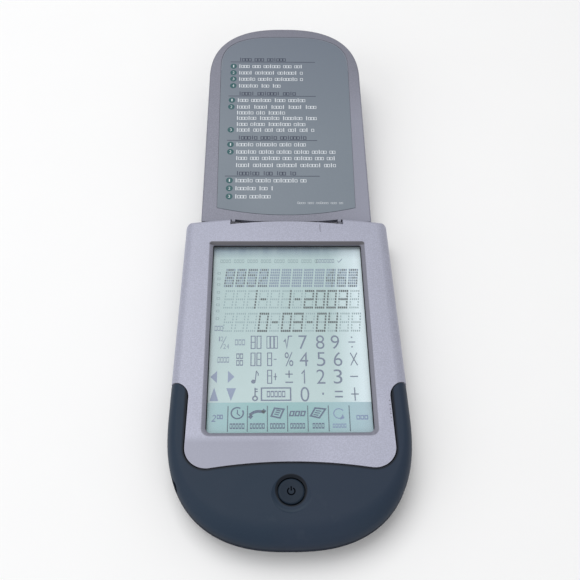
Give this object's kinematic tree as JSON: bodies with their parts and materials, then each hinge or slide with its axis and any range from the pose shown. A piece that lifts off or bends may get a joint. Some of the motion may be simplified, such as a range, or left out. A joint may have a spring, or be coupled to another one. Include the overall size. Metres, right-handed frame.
{
  "type": "touch-screen pocket organiser",
  "caption": "Pocket organiser with a rounded grip, touch screen with printed keys, round power button, hinged flip cover with a guide card, stylus and coin cells.",
  "frame": {"origin": "centre of the flat back of the body, between the grip end and the hinge shoulders", "axes": "+Y from the grip end towards the hinge and the open cover, +Z out of the screen, +X to the right of the screen"},
  "size_m": [0.0786, 0.218, 0.0235],
  "materials": {
    "silver_paint": "fine metallic lilac-silver paint, satin",
    "soft_navy": "soft-touch dark slate blue",
    "black_foam": "matt foam",
    "touch_glass": "clear resistive touch panel, satin top film",
    "strip_print": "printed film",
    "lcd_glass": "pale green-grey display glass",
    "reflector": "pale reflecting film",
    "frame_plastic": "moulded, matt",
    "zebra_rubber": "layered conducting rubber",
    "tail_film": "amber flexible film",
    "connector_plastic": "moulded, matt",
    "board": "green solder mask",
    "black_resin": "moulded resin",
    "steel": "plated",
    "cell_steel": "plated, rolled edge",
    "brass": "bright",
    "ceramic_tan": "fired",
    "ceramic_white": "fired",
    "lead_red": "insulated wire",
    "grey_rubber": "moulded",
    "key_plastic": "fine matt",
    "nib_plastic": "smooth",
    "card_print": "printed grey film"
  },
  "bodies": {
    "organiser": {"front_case": "silver_paint", "grip_cover": "soft_navy", "rear_case": "soft_navy", "screen_gasket": "black_foam", "touch_panel": "touch_glass", "function_strip": "strip_print", "lcd_front_glass": "lcd_glass", "lcd_rear_glass": "lcd_glass", "lcd_reflector": "reflector", "lcd_frame": "frame_plastic", "zebra_strip_top": "zebra_rubber", "zebra_strip_bottom": "zebra_rubber", "touch_tail": "tail_film", "tail_connector": "connector_plastic", "main_board": "board", "processor_blob": "black_resin", "memory_chip": "black_resin", "crystal_can": "steel", "chip_capacitors": "ceramic_tan", "reset_switch": "black_resin", "button_membrane": "grey_rubber", "link_jack": "black_resin", "jack_contacts": "brass", "buzzer_disc": "brass", "buzzer_ceramic": "ceramic_white", "buzzer_leads": "lead_red", "coin_cell_left": "cell_steel", "coin_cell_right": "cell_steel", "cell_springs": "steel", "cell_side_contacts": "steel", "case_screws": "steel", "board_screws": "steel"},
    "cover": {"cover_panel": "silver_paint", "label_card": "card_print"},
    "power_key": {"power_button": "key_plastic"},
    "door": {"battery_door": "soft_navy", "door_screw": "steel"},
    "stylus": {"stylus_barrel": "key_plastic", "stylus_nib": "nib_plastic"},
    "reset": {"reset_key": "key_plastic"}
  },
  "joints": [
    {"name": "cover_hinge", "type": "hinge", "parent": "organiser", "child": "cover", "pos_m": [0, 0.0595, 0.0121], "axis": [1, 0, 0], "range_deg": [0, 172]},
    {"name": "power_press", "type": "slide", "parent": "organiser", "child": "power_key", "axis": [0, 0, -1], "range_m": [0, 0.0008], "stiffness_N_per_m": 600},
    {"name": "door_lift", "type": "slide", "parent": "organiser", "child": "door", "axis": [0, 0, -1], "range_m": [0, 0.012]},
    {"name": "stylus_slide", "type": "slide", "parent": "organiser", "child": "stylus", "axis": [0, 1, 0], "range_m": [0, 0.1]},
    {"name": "reset_press", "type": "slide", "parent": "organiser", "child": "reset", "axis": [0, 0, 1], "range_m": [0, 0.0003], "stiffness_N_per_m": 600}
  ]
}
